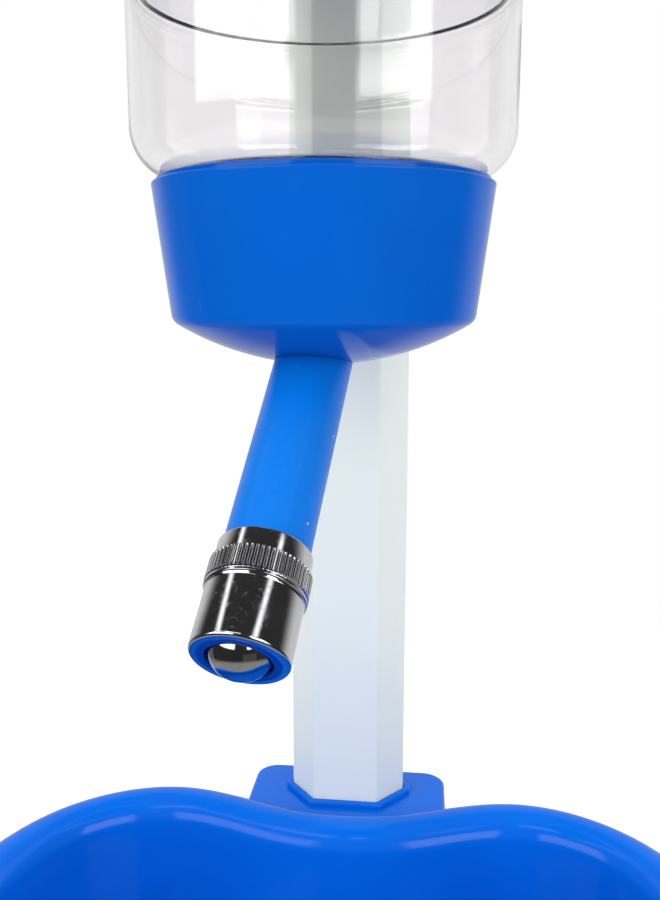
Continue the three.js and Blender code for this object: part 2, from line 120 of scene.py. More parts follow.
def make_camera():
    """A camera low in front of the stand, a little to its right, looking slightly down at the nozzle."""
    data = bpy.data.cameras.new("camera")
    data.sensor_width = 36
    data.lens = CAMERA_LENS
    data.clip_start = 0.01
    camera = bpy.data.objects.new("camera", data)
    camera.location = CAMERA_PLACE * MM
    camera.rotation_euler = (math.radians(90 - CAMERA_DOWN), 0, math.radians(CAMERA_LEFT))
    bpy.context.scene.collection.objects.link(camera)
    bpy.context.scene.camera = camera


make_camera()


# ------------------------------------------------------------------ outlines
def arc(cx, cy, radius, a0, a1, steps=8):
    """Points on an arc about (cx, cy), from angle a0 to a1 in degrees."""
    angles = [math.radians(a0 + (a1 - a0) * i / steps) for i in range(steps + 1)]
    return [(cx + radius * math.cos(a), cy + radius * math.sin(a)) for a in angles]


def rounded(corners, steps=5):
    """A closed outline from (x, y) or (x, y, radius) corners, with each radius made an arc."""
    points = []
    count = len(corners)
    for i, corner in enumerate(corners):
        here = Vector(corner[:2])
        radius = corner[2] if len(corner) > 2 else 0
        if radius <= 0:
            points.append(tuple(here))
            continue
        before = Vector(corners[i - 1][:2]) - here
        after = Vector(corners[(i + 1) % count][:2]) - here
        half = before.angle(after) / 2
        run = min(radius / math.tan(half), 0.49 * before.length, 0.49 * after.length)
        radius = run * math.tan(half)
        b, a = before.normalized(), after.normalized()
        centre = here + (a + b).normalized() * (radius / math.sin(half))
        first, last = here + b * run - centre, here + a * run - centre
        sweep = first.angle_signed(last)
        for k in range(steps + 1):
            turn = Matrix.Rotation(-sweep * k / steps, 2)
            points.append(tuple(centre + turn @ first))
    return points


def rod(radius, z0, z1):
    """A plain cylinder's half outline."""
    return [(0, z0), (radius, z0), (radius, z1), (0, z1)]


def pole_section(grow=0.0, radius=1.2, steps=4):
    """The pole's flattened eight-sided section, grown by a distance, about the bottle's axis."""
    hx = (pole_high.x - pole_low.x) / 2
    hy = (pole_high.y - pole_low.y) / 2
    cx, cy = POLE_CUT
    slope = math.hypot(cx, cy)
    shift_x = grow * (slope - cx) / cy
    shift_y = grow * (slope - cy) / cx
    right = [
        (hx - cx + shift_x, -hy - grow),
        (hx + grow, -hy + cy - shift_y),
        (hx + grow, hy - cy + shift_y),
        (hx - cx + shift_x, hy + grow),
    ]
    left = [(-x, y) for x, y in reversed(right)]
    return rounded([(x, y + POLE_Y, radius) for x, y in right + left], steps)


# ------------------------------------------------------------------ mesh code
def finish_mesh(name, bm, place, sharp=SHARP):
    """A mesh object from bmesh data in millimetres, put in the frame in metres."""
    bmesh.ops.remove_doubles(bm, verts=bm.verts, dist=1e-5)
    bmesh.ops.recalc_face_normals(bm, faces=bm.faces)
    mesh = bpy.data.meshes.new(name)
    bm.to_mesh(mesh)
    bm.free()
    mesh.transform(Matrix.Scale(MM, 4) @ place)
    smooth(mesh, sharp)
    obj = bpy.data.objects.new(name, mesh)
    bpy.context.scene.collection.objects.link(obj)
    return obj


def smooth(mesh, sharp):
    """Smooth shading with hard edges past an angle in degrees."""
    mesh.polygons.foreach_set("use_smooth", [True] * len(mesh.polygons))
    mesh.set_sharp_from_angle(angle=math.radians(sharp))


def connect(bm, first, second):
    """Faces between two rings of vertices; a ring of one vertex is a point on the axis."""
    if len(first) == 1 and len(second) == 1:
        return
    count = max(len(first), len(second))
    for i in range(count):
        j = (i + 1) % count
        if len(first) == 1:
            bm.faces.new((first[0], second[i], second[j]))
        elif len(second) == 1:
            bm.faces.new((first[i], second[0], first[j]))
        else:
            bm.faces.new((first[i], second[i], second[j], first[j]))


def lathe(name, outline, segments=ROUND, place=UPRIGHT, shape=None, sharp=SHARP):
    """A closed solid of revolution; shape(radius, height, angle) may change a point's radius."""
    bm = bmesh.new()
    rings = []
    for r, z in outline:
        if r < 1e-4:
            rings.append([bm.verts.new((0, 0, z))])
            continue
        ring = []
        for i in range(segments):
            a = 2 * math.pi * i / segments
            radius = shape(r, z, a) if shape else r
            ring.append(bm.verts.new((radius * math.cos(a), radius * math.sin(a), z)))
        rings.append(ring)
    for i, ring in enumerate(rings):
        connect(bm, ring, rings[(i + 1) % len(rings)])
    return finish_mesh(name, bm, place, sharp)


def skin(name, rings, place=UPRIGHT, sharp=SHARP):
    """A solid through rings of (x, y, z) points, capped at both ends."""
    bm = bmesh.new()
    made = [[bm.verts.new(p) for p in ring] for ring in rings]
    for first, second in zip(made, made[1:]):
        connect(bm, first, second)
    bm.faces.new(made[0])
    bm.faces.new(made[-1])
    return finish_mesh(name, bm, place, sharp)


def prism(name, outline, z0, z1, edge=0.0, steps=3):
    """An extruded outline whose top and bottom edges are rounded inwards by a radius."""
    count = len(outline)
    inward = []
    for i in range(count):
        along = Vector(outline[(i + 1) % count]) - Vector(outline[i - 1])
        inward.append(Vector((-along.y, along.x)).normalized())
    area = sum(
        outline[i][0] * outline[(i + 1) % count][1] - outline[(i + 1) % count][0] * outline[i][1]
        for i in range(count)
    )
    flip = 1 if area > 0 else -1

    def ring(inset, z):
        return [(p[0] + n.x * inset * flip, p[1] + n.y * inset * flip, z) for p, n in zip(outline, inward)]

    if edge <= 0:
        return skin(name, [ring(0, z0), ring(0, z1)])
    turns = [math.pi / 2 * k / steps for k in range(steps + 1)]
    low = [ring(edge * (1 - math.sin(t)), z0 + edge * (1 - math.cos(t))) for t in turns]
    high = [ring(edge * (1 - math.cos(t)), z1 - edge * (1 - math.sin(t))) for t in turns]
    return skin(name, low + high)


def combine(base, operation, *others):
    """Joins or cuts solids for good, and removes the tools."""
    for other in others:
        modifier = base.modifiers.new("combine", "BOOLEAN")
        modifier.operation = operation
        modifier.solver = "EXACT"
        modifier.object = other
        bpy.context.view_layer.update()
        evaluated = base.evaluated_get(bpy.context.evaluated_depsgraph_get())
        mesh = bpy.data.meshes.new_from_object(evaluated)
        base.modifiers.clear()
        base.data = mesh
        bpy.data.objects.remove(other)
    smooth(base.data, SHARP)
    return base


# ------------------------------------------------------------------ materials
class Nodes:
    """A material's node tree, with short calls to add and join nodes."""

    def __init__(self, name):
        self.material = bpy.data.materials.new(name)
        self.material.use_nodes = True
        self.tree = self.material.node_tree
        self.shader = self.tree.nodes["Principled BSDF"]
        self.place = self.add("ShaderNodeTexCoord").outputs["Object"]

    def add(self, kind, **values):
        node = self.tree.nodes.new(kind)
        for key, value in values.items():
            setattr(node, key, value)
        return node

    def join(self, output, node, socket):
        self.tree.links.new(output, node.inputs[socket])

    def set(self, **values):
        for key, value in values.items():
            self.shader.inputs[key.replace("_", " ")].default_value = value

    def noise(self, scale, detail=3.0, rough=0.5, stretch=(1, 1, 1), offset=0.0):
        """Noise of a given scale per metre, stretched along the axes."""
        mapping = self.add("ShaderNodeMapping")
        mapping.inputs["Scale"].default_value = stretch
        mapping.inputs["Location"].default_value = (offset, offset * 0.7, offset * 1.3)
        self.join(self.place, mapping, "Vector")
        noise = self.add("ShaderNodeTexNoise")
        noise.inputs["Scale"].default_value = scale
        noise.inputs["Detail"].default_value = detail
        noise.inputs["Roughness"].default_value = rough
        self.join(mapping.outputs["Vector"], noise, "Vector")
        return noise.outputs["Fac"]

    def spread(self, value, low, high, to_low, to_high):
        """Maps a value's range on to another."""
        node = self.add("ShaderNodeMapRange")
        node.inputs["From Min"].default_value = low
        node.inputs["From Max"].default_value = high
        node.inputs["To Min"].default_value = to_low
        node.inputs["To Max"].default_value = to_high
        self.join(value, node, "Value")
        return node.outputs["Result"]

    def blend(self, factor, first, second):
        """A colour between two, by a factor."""
        node = self.add("ShaderNodeMix", data_type="RGBA")
        self.join(factor, node, "Factor")
        for socket, value in (("A", first), ("B", second)):
            target = next(s for s in node.inputs if s.name == socket and s.type == "RGBA")
            if isinstance(value, tuple):
                target.default_value = (*value, 1)
            else:
                self.tree.links.new(value, target)
        return next(s for s in node.outputs if s.type == "RGBA")

    def combine(self, operation, first, second):
        node = self.add("ShaderNodeMath", operation=operation)
        for index, value in enumerate((first, second)):
            if isinstance(value, (int, float)):
                node.inputs[index].default_value = value
            else:
                self.tree.links.new(value, node.inputs[index])
        return node.outputs["Value"]

    def bump(self, height, strength, distance, onto=None):
        node = self.add("ShaderNodeBump")
        node.inputs["Strength"].default_value = strength
        node.inputs["Distance"].default_value = distance
        self.join(height, node, "Height")
        if onto is not None:
            self.join(onto, node, "Normal")
        return node.outputs["Normal"]

    def specks(self, scale, size):
        """1 on sparse small dots and 0 elsewhere."""
        cells = self.add("ShaderNodeTexVoronoi", feature="F1")
        cells.inputs["Scale"].default_value = scale
        self.join(self.place, cells, "Vector")
        return self.spread(cells.outputs["Distance"], size, size * 0.5, 0, 1)


def moulded_plastic(name, colour, shade, roughness, gloss=0.3, dust=0.0, ripple=0.02):
    """Glossy injection-moulded plastic: faint colour drift, orange peel, handling marks and dust."""
    n = Nodes(name)
    drift = n.spread(n.noise(28, 2), 0.35, 0.65, 0, 1)
    colour_out = n.blend(drift, colour, shade)
    scuffs = n.spread(n.noise(260, 4, 0.7, (1, 1, 0.12), 3.1), 0.70, 0.80, 0, 1)
    colour_out = n.blend(n.combine("MULTIPLY", scuffs, 0.05), colour_out, (0.75, 0.83, 0.95))
    if dust:
        colour_out = n.blend(n.combine("MULTIPLY", n.specks(150, 0.045), dust), colour_out, (0.9, 0.94, 1))
    n.join(colour_out, n.shader, "Base Color")
    haze = n.spread(n.noise(90, 3, 0.6, offset=1.7), 0.3, 0.7, roughness * 0.75, roughness * 1.3)
    n.join(n.combine("ADD", haze, n.combine("MULTIPLY", scuffs, 0.12)), n.shader, "Roughness")
    peel = n.bump(n.noise(420, 2, 0.4), ripple, 0.0004)
    grain = n.bump(n.noise(2600, 2, 0.5), ripple * 0.6, 0.0001, peel)
    n.join(grain, n.shader, "Normal")
    n.set(IOR=1.5, Specular_IOR_Level=gloss)
    return n.material


def coated_metal(name, colour, shade, roughness):
    """Satin powder coat: fine pebbled grain with slightly uneven gloss and faint rubbing marks."""
    n = Nodes(name)
    tone = n.blend(n.spread(n.noise(16, 3), 0.35, 0.65, 0, 1), colour, shade)
    rubs = n.spread(n.noise(140, 4, 0.6, (1, 1, 0.06), 5.0), 0.62, 0.75, 0, 1)
    n.join(n.blend(n.combine("MULTIPLY", rubs, 0.18), tone, (0.90, 0.91, 0.90)), n.shader, "Base Color")
    gloss = n.spread(n.noise(60, 3, 0.6, offset=2.0), 0.3, 0.7, roughness * 0.85, roughness * 1.2)
    n.join(gloss, n.shader, "Roughness")
    pebble = n.bump(n.noise(1900, 2, 0.5), 0.06, 0.0001)
    n.join(n.bump(n.noise(300, 2), 0.03, 0.0003, pebble), n.shader, "Normal")
    return n.material


def polished_metal(name, colour, tint, roughness, brushed=(1, 1, 1), marks=0.05):
    """Bright metal: hairline polish marks, a slightly uneven film and small stains."""
    n = Nodes(name)
    film = n.spread(n.noise(220, 3, 0.6), 0.4, 0.7, 0, 1)
    n.join(n.blend(n.combine("MULTIPLY", film, 0.35), colour, tint), n.shader, "Base Color")
    hair = n.noise(900, 3, 0.6, brushed, 4.0)
    film_gloss = n.spread(film, 0, 1, roughness * 0.7, roughness * 1.6)
    scratches = n.combine("MULTIPLY", n.spread(hair, 0.55, 0.7, 0, 1), marks)
    n.join(n.combine("ADD", film_gloss, scratches), n.shader, "Roughness")
    n.join(n.bump(hair, 0.015, 0.00005), n.shader, "Normal")
    n.set(Metallic=1.0)
    return n.material


def clear_plastic(name):
    """Blown clear plastic: slightly wavy walls, faint smears and fine scratches."""
    n = Nodes(name)
    smear = n.spread(n.noise(70, 4, 0.6, (1, 1, 0.35)), 0.5, 0.75, 0, 1)
    scratch = n.spread(n.noise(420, 5, 0.7, (1, 1, 0.05), 2.0), 0.66, 0.72, 0, 1)
    gloss = n.combine("ADD", n.combine("MULTIPLY", smear, 0.035), n.combine("MULTIPLY", scratch, 0.09))
    n.join(gloss, n.shader, "Roughness")
    n.join(n.blend(smear, (0.955, 0.945, 0.952), (0.935, 0.926, 0.934)), n.shader, "Base Color")
    wave = n.bump(n.noise(38, 2, 0.4, (1, 1, 0.4)), 0.05, 0.002)
    n.join(n.bump(n.noise(900, 2), 0.01, 0.0001, wave), n.shader, "Normal")
    n.set(IOR=1.48, Transmission_Weight=1.0)
    return n.material


def soft_rubber(name, colour, shade, roughness=0.75):
    """Matte rubber: fine tooth, dusty bloom on the high spots."""
    n = Nodes(name)
    bloom = n.spread(n.noise(180, 4, 0.65), 0.45, 0.75, 0, 1)
    n.join(n.blend(bloom, colour, shade), n.shader, "Base Color")
    n.join(n.spread(bloom, 0, 1, roughness * 0.9, min(1, roughness * 1.15)), n.shader, "Roughness")
    tooth = n.bump(n.noise(1600, 3, 0.6), 0.2, 0.0002)
    n.join(tooth, n.shader, "Normal")
    return n.material


def studio_floor(name):
    """Pale matt paper with a faint mottle."""
    n = Nodes(name)
    tone = n.spread(n.noise(9, 4, 0.6), 0.3, 0.7, 0, 1)
    n.join(n.blend(tone, (0.93, 0.93, 0.93), (0.91, 0.912, 0.915)), n.shader, "Base Color")
    n.join(n.bump(n.noise(700, 3), 0.05, 0.0002), n.shader, "Normal")
    n.set(Roughness=0.8)
    return n.material


BOWL_BLUE = moulded_plastic("bowl_blue", (0.001, 0.124, 0.63), (0.001, 0.110, 0.58), 0.13, 0.22, 0, 0.03)
CAP_BLUE = moulded_plastic("cap_blue", (0.001, 0.112, 0.56), (0.001, 0.100, 0.51), 0.12, 0.16)
SPOUT_BLUE = moulded_plastic("spout_blue", (0.001, 0.165, 0.66), (0.001, 0.148, 0.60), 0.26, 0.12, 0.6, 0.03)
HOLDER_BLUE = moulded_plastic("holder_blue", (0.001, 0.120, 0.62), (0.001, 0.106, 0.56), 0.2)
# The insert is the spout's blue plastic made darker: painted shade on the nozzle's face.
INSERT_SHADED_BLUE = moulded_plastic("insert_blue_painted_shade", (0.001, 0.036, 0.28), (0.001, 0.032, 0.25), 0.2, dust=0.3)
NATURAL = moulded_plastic("natural_plastic", (0.72, 0.70, 0.62), (0.66, 0.64, 0.56), 0.4)
POLE_WHITE = coated_metal("pole_white", (0.82, 0.87, 0.80), (0.79, 0.84, 0.775), 0.42)
CHROME = polished_metal("chrome", (0.76, 0.76, 0.78), (0.60, 0.59, 0.60), 0.10, marks=0.14)
BALL_STEEL = polished_metal("ball_steel", (0.68, 0.66, 0.64), (0.54, 0.53, 0.51), 0.06)
STEEL = polished_metal("steel", (0.56, 0.56, 0.58), (0.44, 0.44, 0.45), 0.22, (1, 1, 6), 0.15)
BRASS = polished_metal("brass", (0.72, 0.50, 0.20), (0.60, 0.40, 0.15), 0.2)
BLACK_RUBBER = soft_rubber("black_rubber", (0.012, 0.012, 0.013), (0.045, 0.045, 0.047))
SILICONE = soft_rubber("white_silicone", (0.70, 0.72, 0.72), (0.62, 0.64, 0.64), 0.5)
BOTTLE_CLEAR = clear_plastic("bottle_clear")


def dress(obj, material, slot, body, *nodes):
    """Gives a piece its finish and body, and hides the CAD nodes it stands for."""
    obj.data.materials.clear()
    obj.data.materials.append(material)
    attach(obj, body)
    if nodes:
        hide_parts(*nodes)
    return obj


# ------------------------------------------------------------------ base and bowl
BOWL_TURN = math.radians(1)  # how the bowl sits under the pole
BOWL_SHIFT = Vector((1.0, 0.8))
CREST_Z = 51.0
ROLL_R = 7.5
BOWL_WALL = 2.2
BOWL_FLOOR_Z = 9.0
SKIRT_Z = 1.5
FLARE = 8.5
FLOOR_EDGE = -17.5  # where the bowl's floor starts to curve up, inwards from the crest
FLOOR_CURVE_R = 9
PAD_Z = 48.0
FOOT_BOSS_R = 8.5
FOOT_BOSS_Z = (3.3, 8)
FOOT_HOLE_R = 2.45
SCREW_HOLE_R = 2.4


def crest_outline(samples=288):
    """The crest of the rim from above: points and outward normals, smooth enough for gloss."""
    side = [
        (17.2, 38.5), (33.5, 44.2), (49.5, 47.8), (66, 43.8), (81.5, 31.2), (92, 8.5),
        (95.5, -20), (91, -50), (75.3, -78), (44, -97),
    ]
    corners = [(0, 36.5)] + [(-x, y) for x, y in side] + [(0, -103)] + side[::-1]
    knots = [Vector(p) for p in corners]
    count = len(knots)
    dense = []
    for i in range(count):
        p0, p1, p2, p3 = (knots[(i + k) % count] for k in (-1, 0, 1, 2))
        d0, d1, d2 = (math.sqrt((b - a).length) for a, b in ((p0, p1), (p1, p2), (p2, p3)))
        m1 = ((p1 - p0) / d0 - (p2 - p0) / (d0 + d1) + (p2 - p1) / d1) * d1
        m2 = ((p2 - p1) / d1 - (p3 - p1) / (d1 + d2) + (p3 - p2) / d2) * d1
        for k in range(40):
            t = k / 40
            a = 2 * t**3 - 3 * t**2 + 1
            b = t**3 - 2 * t**2 + t
            c = -2 * t**3 + 3 * t**2
            d = t**3 - t**2
            dense.append(p1 * a + m1 * b + p2 * c + m2 * d)
    even = even_points(dense, samples)
    for _ in range(14):  # relax the joints between the stretches
        even = [(even[i - 1] + even[i] * 2 + even[(i + 1) % samples]) / 4 for i in range(samples)]
    turn = Matrix.Rotation(BOWL_TURN, 2)
    outline = []
    for i in range(samples):
        along = turn @ (even[(i + 1) % samples] - even[i - 1]).normalized()
        outline.append((turn @ even[i] + BOWL_SHIFT, Vector((along.y, -along.x))))
    return outline


def even_points(loop, samples):
    """Points at even distances round a closed loop."""
    lengths = [0.0]
    for a, b in zip(loop, loop[1:] + loop[:1]):
        lengths.append(lengths[-1] + (b - a).length)
    points = []
    k = 0
    for i in range(samples):
        target = lengths[-1] * i / samples
        while lengths[k + 1] < target:
            k += 1
        t = (target - lengths[k]) / (lengths[k + 1] - lengths[k])
        points.append(loop[k].lerp(loop[(k + 1) % len(loop)], t))
    return points


def follow(outline, levels):
    """Rings that follow the crest at (distance outwards, height) levels."""
    return [[(p.x + n.x * d, p.y + n.y * d, z) for p, n in outline] for d, z in levels]


def plinth(name, inset, z0, z1, top=0.0):
    """The tapered block under the pole, with rounded back corners and top edge."""
    half_x, back_y, front_y, corner_r, draft = 29.4, 72.0, 34.0, 6.0, 3.2

    def ring(z, pull=0.0):
        spread = draft * (PAD_Z - z) / PAD_Z - inset - pull
        x, y = half_x + spread, back_y + spread
        outline = rounded([(-x, front_y), (x, front_y), (x, y, corner_r), (-x, y, corner_r)], 8)
        return [(px, py, z) for px, py in outline]

    rings = [ring(z0)]
    rings += [ring(z1 - top + top * math.sin(t), top * (1 - math.cos(t))) for t in quarter(5 if top else 1)]
    return skin(name, rings)


def quarter(steps):
    """Angles over a quarter turn, or only its end."""
    return [math.pi / 2 * k / steps for k in range(steps + 1)] if steps > 1 else [math.pi / 2]


def build_base():
    """The bowl and its skirt in one shell, with the pole's plinth, socket, ribs and foot bosses."""
    outline = crest_outline()
    roll_z = CREST_Z - ROLL_R
    foot_z = BOWL_FLOOR_Z + FLOOR_CURVE_R
    levels = [(FLOOR_EDGE - 14, BOWL_FLOOR_Z), (FLOOR_EDGE - 6, BOWL_FLOOR_Z)]
    levels += arc(FLOOR_EDGE, foot_z, FLOOR_CURVE_R, -90, 0, 12)
    levels += [(-8.3, 24), (-8.0, 31), (-7.7, 38)]
    levels += arc(0, roll_z, ROLL_R, 176, 4, 26)
    levels += [(FLARE - 0.7, 30), (FLARE - 0.35, 15), (FLARE - 0.05, SKIRT_Z + 1.2)]
    levels += arc(FLARE - 0.6, SKIRT_Z + 0.6, 0.6, 0, -90, 3)
    levels += [(FLARE - BOWL_WALL, SKIRT_Z), (ROLL_R - BOWL_WALL, roll_z)]
    levels += arc(0, roll_z, ROLL_R - BOWL_WALL, 20, 160, 6)
    levels += arc(FLOOR_EDGE, foot_z, FLOOR_CURVE_R + BOWL_WALL, 0, -90, 8)
    levels += [(FLOOR_EDGE - 14, BOWL_FLOOR_Z - BOWL_WALL)]
    base = skin("bowl_base_fine", follow(outline, levels))

    outside = [(FLARE - 0.8, SKIRT_Z - 3), (ROLL_R - 0.8, roll_z)] + arc(0, roll_z, ROLL_R - 0.8, 10, 90, 6)
    fill = skin("fill", follow(outline, outside + [(-2, CREST_Z + 8)]))
    tower = plinth("tower", 0, SKIRT_Z, PAD_Z, top=1.4)
    tower = combine(tower, "DIFFERENCE", plinth("room", BOWL_WALL, SKIRT_Z - 2, PAD_Z - BOWL_WALL))
    tower = combine(tower, "DIFFERENCE", fill)
    socket = prism("socket", pole_section(2.5), pole_low.z - 3.2, PAD_Z - 1)
    collar = prism("collar", pole_section(2.1, 3.0), PAD_Z - 1, PAD_Z + 1.5, 0.8, 4)
    ribs = [rib(side) for side in (-1, 1)]
    feet = foot_spots()
    bosses = [lathe("boss", rod(FOOT_BOSS_R, *FOOT_BOSS_Z), 48, spot(f)) for f in feet]
    holes = [lathe("hole", rod(FOOT_HOLE_R, 0, 7), 32, spot(f)) for f in feet]
    pole_hole = prism("pole_hole", pole_section(0.3), pole_low.z - 0.3, PAD_Z + 10)
    screw_hole = lathe("screw_hole", rod(SCREW_HOLE_R, 0, 20), 32, spot((0, POLE_Y)))
    base = combine(base, "UNION", tower, socket, collar, *ribs, *bosses)
    base = combine(base, "DIFFERENCE", pole_hole, screw_hole, *holes)
    dress(base, BOWL_BLUE, "bowl_blue", "stand", "bowl_base")


def rib(side):
    """A stiffening rib between the pole's socket and the plinth's side wall."""
    low, high = sorted((side * 18, side * 29))
    outline = [(low, POLE_Y - 1), (high, POLE_Y - 1), (high, POLE_Y + 1), (low, POLE_Y + 1)]
    return prism("rib", outline, 12, 46.5)


def foot_spots():
    """Centres of the rubber feet about the bottle's axis."""
    spots = []
    for i in range(4):
        low, high = box_mm(f"rubber_foot_{i + 1}")
        centre = (low + high) / 2 - AXIS
        spots.append((centre.x, centre.y))
    return spots


def spot(xy):
    """A place on the table about the bottle's axis."""
    return Matrix.Translation(AXIS + Vector((xy[0], xy[1], 0)))


def build_feet():
    """Press-in rubber feet with a grooved tread."""
    for i, centre in enumerate(foot_spots()):
        outline = rounded(
            [(0, 0), (1.6, 0), (1.6, 0.5, 0.15), (2.6, 0.5, 0.15), (2.6, 0), (4.2, 0), (4.2, 0.5, 0.15),
             (5.2, 0.5, 0.15), (5.2, 0), (7.1, 0, 0.5), (7.5, 1.2, 0.3), (7.5, 3, 0.3), (2.3, 3, 0.2),
             (2.2, 4.6), (2.3, 5.4, 0.3), (1.6, 6.4, 0.3), (0, 6.4)], 4)
        foot = lathe(f"rubber_foot_{i + 1}_fine", outline, 64, spot(centre))
        dress(foot, BLACK_RUBBER, "black_rubber", "stand", f"rubber_foot_{i + 1}")


# ------------------------------------------------------------------ pole
def build_pole():
    """The hollow pole and the plug that closes its top."""
    outer = prism("pole_fine", pole_section(), pole_low.z, pole_high.z, 0.3, 2)
    inner = prism("inner", pole_section(-1.6, 0.8), pole_low.z - 1, pole_high.z + 1)
    pole = combine(outer, "DIFFERENCE", inner)
    dress(pole, POLE_WHITE, "pole_white", "stand", "pole")
    low, high = box_mm("pole_top_cap")
    top = prism("pole_top_cap_fine", pole_section(1.0, 1.6), pole_high.z + 0.3, high.z, 1.3, 6)
    plug = prism("plug", pole_section(-1.9, 0.8), low.z, pole_high.z + 1, 0.4)
    dress(combine(top, "UNION", plug), HOLDER_BLUE, "holder_blue", "stand", "pole_top_cap")


# ------------------------------------------------------------------ carriage on the pole
HOLDER_RING_R = 40.4
HOLDER_WALL = 3.0
HALF_MOUTH = 50  # degrees from straight ahead to the ring's open ends
LIP_R = 2.3
LIP_TURN = 3.4  # degrees that a lip takes off the ring's end
CLAMP_BORE_R = 3.2
NUT_ROOM_R = 6.1
SCREW_R = 2.9
SCREW_PITCH = 1.0


def along_y(name, outline, y0, segments=FINE, shape=None):
    """A turned piece on the clamp screw's axis; its outline's height runs along +Y from y0."""
    turn = Matrix.Rotation(math.radians(-90), 4, "X")
    place = Matrix.Translation(AXIS + Vector((0, y0, CLAMP_Z))) @ turn
    return lathe(name, outline, segments, place, shape)


def build_carriage():
    """The holder: an open ring for the bottle, a sleeve on the pole, and the clamp's boss."""
    z0, z1 = holder_low.z, holder_high.z
    ring_r = HOLDER_RING_R
    ring_z0, ring_z1 = z0 + 4, z0 + 28
    start, end = -90 + HALF_MOUTH, 270 - HALF_MOUTH
    mid = ring_r + HOLDER_WALL / 2

    def lip(angle, first):
        x, y = mid * math.cos(math.radians(angle)), mid * math.sin(math.radians(angle))
        return arc(x, y, LIP_R, first, first + 180, 8)

    outline = lip(start, start - 180)
    outline += arc(0, 0, ring_r + HOLDER_WALL, start + LIP_TURN, end - LIP_TURN, 120)
    outline += lip(end, end)
    outline += arc(0, 0, ring_r, end - LIP_TURN, start + LIP_TURN, 120)
    ring = prism("bottle_carriage_fine", outline, ring_z0, ring_z1, 0.8, 4)
    sleeve = prism("sleeve", pole_section(3.35, 2.5, 6), z0, z1, 1.0, 4)
    web_y = (ring_r + 1, POLE_BACK - 6)
    web_outline = rounded([(-13, web_y[0]), (13, web_y[0]), (13, web_y[1]), (-13, web_y[1])])
    web = prism("web", web_outline, ring_z0 + 1, ring_z1 - 1, 0.8, 3)
    boss_end = holder_high.y - AXIS.y
    boss_run = boss_end - POLE_BACK - 2
    boss_outline = rounded([(0, 0), (9.6, 0), (9, boss_run, 0.8), (0, boss_run)])
    boss = along_y("boss", boss_outline, POLE_BACK + 2)
    bore = along_y("bore", rod(CLAMP_BORE_R, 0, 30), POLE_BACK - 1)
    nut_room = along_y("nut_room", rod(NUT_ROOM_R, 0, 11.3), POLE_BACK - 1, 6)
    tunnel = prism("tunnel", pole_section(0.35), z0 - 1, z1 + 1)
    clear = lathe("clear", rod(ring_r, z0 - 1, z1 + 1), SMOOTH_ROUND)
    holder = combine(ring, "UNION", sleeve, web, boss)
    holder = combine(holder, "DIFFERENCE", tunnel, bore, nut_room, clear)
    dress(holder, HOLDER_BLUE, "holder_blue", "carriage", "bottle_carriage")


def build_knob():
    """A six-lobed clamp knob with a dished face."""
    y0 = knob_low.y - AXIS.y
    length = knob_high.y - knob_low.y
    radius = (knob_high.x - knob_low.x) / 2
    lobe_depth, rim_r = 0.13, 8.5

    def lobes(r, z, a):
        return r * (1 - lobe_depth * (1 - math.cos(6 * a)) / 2) if r > rim_r else r

    outline = rounded([
        (3.1, 0), (6.5, 0, 0.5), (6.5, 2), (radius, 2, 1.0), (radius, length, 1.8), (8.2, length, 0.6),
        (7.2, length - 1.2, 0.6), (3.9, length - 1.2, 0.3), (3.1, length - 2)], 5)
    knob = along_y("clamp_knob_fine", outline, y0, 192, lobes)
    dress(knob, HOLDER_BLUE, "holder_blue", "knob", "clamp_knob")


def build_screw():
    """The clamp's threaded screw, whose end shows in the knob."""
    low, high = box_mm("clamp_screw")
    run = high.y - low.y
    thread_depth, end_r, chamfer = 0.35, 2.5, 0.3

    def threads(r, z, a):
        if r < SCREW_R - 0.1 or z < 1 or z > run - 1:
            return r
        return r - thread_depth * abs(2 * ((z - a / (2 * math.pi)) % SCREW_PITCH) - 1)

    steps = int(run / (SCREW_PITCH / 4))
    side = [(SCREW_R, chamfer + (run - 2 * chamfer) * i / steps) for i in range(steps + 1)]
    outline = [(0, 0), (end_r, 0)] + side + [(end_r, run), (0, run)]
    screw = along_y("clamp_screw_fine", outline, low.y - AXIS.y, 48, threads)
    dress(screw, STEEL, "steel", "knob", "clamp_screw")


# ------------------------------------------------------------------ bottle and band
NECK_R = 28.6
NECK_WALL = 1.8
MOUTH_Z = 197.6
SHOULDER_R = 10.0
SHOULDER_Z = 221.5
TOP_R = 8.0
WALL = 1.2
LEAD = 12.0
STARTS = 3
THREAD_DEPTH = 1.2
RIDGE_HALF = 0.8
RIDGE_FLANK = 0.35
GROOVE_Z = 257.9
BAND_SEAT = 0.6  # how deep the rubber band's groove is


def groove_side(wall_r, depth, half):
    """The moulded groove round the bottle, from its foot up, as a rounded notch in a wall's radius."""
    side = []
    for k in range(-6, 7):
        fall = 0.5 + 0.5 * math.cos(math.pi * k / 6)
        side.append((wall_r - depth * fall, GROOVE_Z + half * k / 6))
    return side


def thread_height(z, angle, z_start):
    """How far the thread stands out at a point; every ridge runs out at its two ends."""
    sweep = math.radians(96)
    best = LEAD
    fade = 0.0
    for k in range(STARTS):
        turn = (angle - 2 * math.pi * k / STARTS) % (2 * math.pi)
        if turn > sweep:
            continue
        distance = abs(z - (z_start + LEAD * turn / (2 * math.pi)))
        if distance < best:
            best = distance
            fade = min(1, turn / 0.25, (sweep - turn) / 0.25)
    return THREAD_DEPTH * fade * max(0, min(1, (RIDGE_HALF - best) / RIDGE_FLANK))


